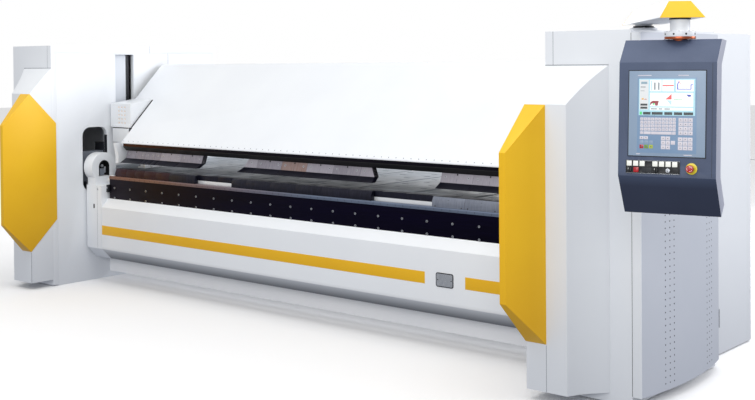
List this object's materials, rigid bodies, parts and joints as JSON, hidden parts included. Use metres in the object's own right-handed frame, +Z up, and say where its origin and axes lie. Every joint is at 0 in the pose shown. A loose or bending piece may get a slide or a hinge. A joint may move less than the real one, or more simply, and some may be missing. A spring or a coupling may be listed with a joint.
{
  "type": "swing-beam sheet metal folding machine",
  "caption": "Folding machine: sloped clamping beam, swinging folding beam, slotted sheet table, two white stands with yellow noses, and a hanging control panel.",
  "frame": {"origin": "on the floor, straight below the middle of the bending line", "axes": "+X along the machine to the operator's right, +Y from the operator's side into the machine, +Z up"},
  "size_m": [6.6938, 2.5294, 2.137],
  "materials": {
    "white_sheet": "light grey-white powder coat, fine texture",
    "yellow_sheet": "signal yellow powder coat, satin",
    "frame_paint": "light grey machine enamel",
    "dark_enamel": "dark grey machine enamel",
    "blued_rail": "black oxide finish on ground steel",
    "tool_steel": "ground tool steel",
    "dark_tools": "black oxide finish on tool steel",
    "bright_steel": "ground bright steel",
    "table_sheet": "milled grey steel plate",
    "panel_paint": "slate blue textured powder coat",
    "bezel_film": "light blue-grey front film",
    "screen_glass": "flat screen behind clear film",
    "key_film": "embossed key film",
    "black_plastic": "moulded black plastic",
    "white_button": "moulded white plastic",
    "red_button": "moulded red plastic",
    "yellow_plastic": "moulded yellow plastic",
    "copper_ring": "copper-coloured anodised ring",
    "motor_paint": "painted cast housing"
  },
  "bodies": {
    "machine": {"left_side_frame": "frame_paint", "right_side_frame": "frame_paint", "left_housing": "white_sheet", "right_housing": "white_sheet", "column_covers": "white_sheet", "nose_covers": "yellow_sheet", "leveling_bolts": "bright_steel", "lower_beam": "dark_enamel", "lower_tool_bar": "bright_steel", "lower_blades": "dark_tools", "table_frame": "dark_enamel", "table_plates": "table_sheet", "side_stop": "bright_steel", "base_skirt": "white_sheet", "gauge_rails": "bright_steel", "lift_gearmotors": "motor_paint", "upper_guide_rails": "dark_enamel", "cabinet_front_post": "white_sheet", "switchgear": "black_plastic", "door_hinges": "bright_steel", "arm_base": "black_plastic"},
    "upper_beam_unit": {"upper_beam": "dark_enamel", "upper_beam_cover": "white_sheet", "end_brackets": "white_sheet", "end_cheeks": "white_sheet", "lift_plates": "frame_paint", "lift_screws": "bright_steel", "blade_clamp_bar": "dark_tools", "upper_blades": "tool_steel"},
    "hub_slide": {"hub_bearings": "motor_paint", "folding_gearmotors": "motor_paint"},
    "folding_beam_unit": {"folding_hubs": "white_sheet", "folding_arms": "white_sheet", "folding_beam": "dark_enamel", "folding_front_cover": "white_sheet", "folding_rail": "blued_rail", "rail_screws": "bright_steel", "ruled_strip": "tool_steel", "folding_tools": "dark_tools"},
    "gauge_unit": {"back_gauge": "tool_steel"},
    "door": {"cabinet_door": "white_sheet"},
    "control_arm": {"swivel_arm": "white_sheet", "arm_end_caps": "yellow_sheet"},
    "control_panel": {"swivel_ring": "copper_ring", "panel_housing": "panel_paint", "panel_bezel": "bezel_film", "screen": "screen_glass", "key_pads": "key_film", "button_plate": "bezel_film", "indicator_lamps": "white_button", "stop_collar": "yellow_plastic"},
    "white_button_1_unit": {"white_button_1": "white_button"},
    "white_button_2_unit": {"white_button_2": "white_button"},
    "white_button_3_unit": {"white_button_3": "white_button"},
    "white_button_4_unit": {"white_button_4": "white_button"},
    "red_button_unit": {"red_button": "red_button"},
    "left_knob_unit": {"left_knob": "black_plastic"},
    "right_knob_unit": {"right_knob": "black_plastic"},
    "key_switch_unit": {"key_switch": "bright_steel"},
    "stop_button_unit": {"stop_button": "red_button"}
  },
  "joints": [
    {"name": "upper_beam_lift", "type": "slide", "parent": "machine", "child": "upper_beam_unit", "axis": [0, 0, 1], "range_m": [-0.0495, 0.11]},
    {"name": "folding_beam_height", "type": "slide", "parent": "machine", "child": "hub_slide", "axis": [0, 0, 1], "range_m": [-0.003, 0]},
    {"name": "folding_beam_swing", "type": "hinge", "parent": "hub_slide", "child": "folding_beam_unit", "pos_m": [0, 0, 0.98], "axis": [-1, 0, 0], "range_deg": [0, 135]},
    {"name": "back_gauge_travel", "type": "slide", "parent": "machine", "child": "gauge_unit", "axis": [0, 1, 0], "range_m": [-0.29, 0.35]},
    {"name": "cabinet_door_hinge", "type": "hinge", "parent": "machine", "child": "door", "pos_m": [2.975, 0.619, 1.03], "axis": [0, 0, 1], "range_deg": [0, 100]},
    {"name": "control_arm_swing", "type": "hinge", "parent": "machine", "child": "control_arm", "pos_m": [2.894, -0.167, 2.04], "axis": [0, 0, 1], "range_deg": [-30, 45]},
    {"name": "control_panel_swivel", "type": "hinge", "parent": "control_arm", "child": "control_panel", "pos_m": [3.473, -0.92, 1.96], "axis": [0, 0, 1], "range_deg": [-60, 60]},
    {"name": "white_button_1_press", "type": "slide", "parent": "control_panel", "child": "white_button_1_unit", "axis": [-0.2007, 0.9775, -0.0645], "range_m": [0, 0.004], "stiffness_N_per_m": 400, "springref_m": -0.004},
    {"name": "white_button_2_press", "type": "slide", "parent": "control_panel", "child": "white_button_2_unit", "axis": [-0.2007, 0.9775, -0.0645], "range_m": [0, 0.004], "stiffness_N_per_m": 400, "springref_m": -0.004},
    {"name": "white_button_3_press", "type": "slide", "parent": "control_panel", "child": "white_button_3_unit", "axis": [-0.2007, 0.9775, -0.0645], "range_m": [0, 0.004], "stiffness_N_per_m": 400, "springref_m": -0.004},
    {"name": "white_button_4_press", "type": "slide", "parent": "control_panel", "child": "white_button_4_unit", "axis": [-0.2007, 0.9775, -0.0645], "range_m": [0, 0.004], "stiffness_N_per_m": 400, "springref_m": -0.004},
    {"name": "red_button_press", "type": "slide", "parent": "control_panel", "child": "red_button_unit", "axis": [-0.2007, 0.9775, -0.0645], "range_m": [0, 0.004], "stiffness_N_per_m": 400, "springref_m": -0.004},
    {"name": "left_knob_turn", "type": "hinge", "parent": "control_panel", "child": "left_knob_unit", "pos_m": [3.31316, -1.12512, 1.35101], "axis": [0.2007, -0.9775, 0.0645], "range_deg": [-45, 45]},
    {"name": "right_knob_turn", "type": "hinge", "parent": "control_panel", "child": "right_knob_unit", "pos_m": [3.43365, -1.10039, 1.35101], "axis": [0.2007, -0.9775, 0.0645], "range_deg": [-45, 45]},
    {"name": "key_switch_turn", "type": "hinge", "parent": "control_panel", "child": "key_switch_unit", "pos_m": [3.49046, -1.08873, 1.35101], "axis": [0.2007, -0.9775, 0.0645], "range_deg": [0, 90]},
    {"name": "stop_button_press", "type": "slide", "parent": "control_panel", "child": "stop_button_unit", "axis": [-0.2007, 0.9775, -0.0645], "range_m": [0, 0.006]}
  ]
}
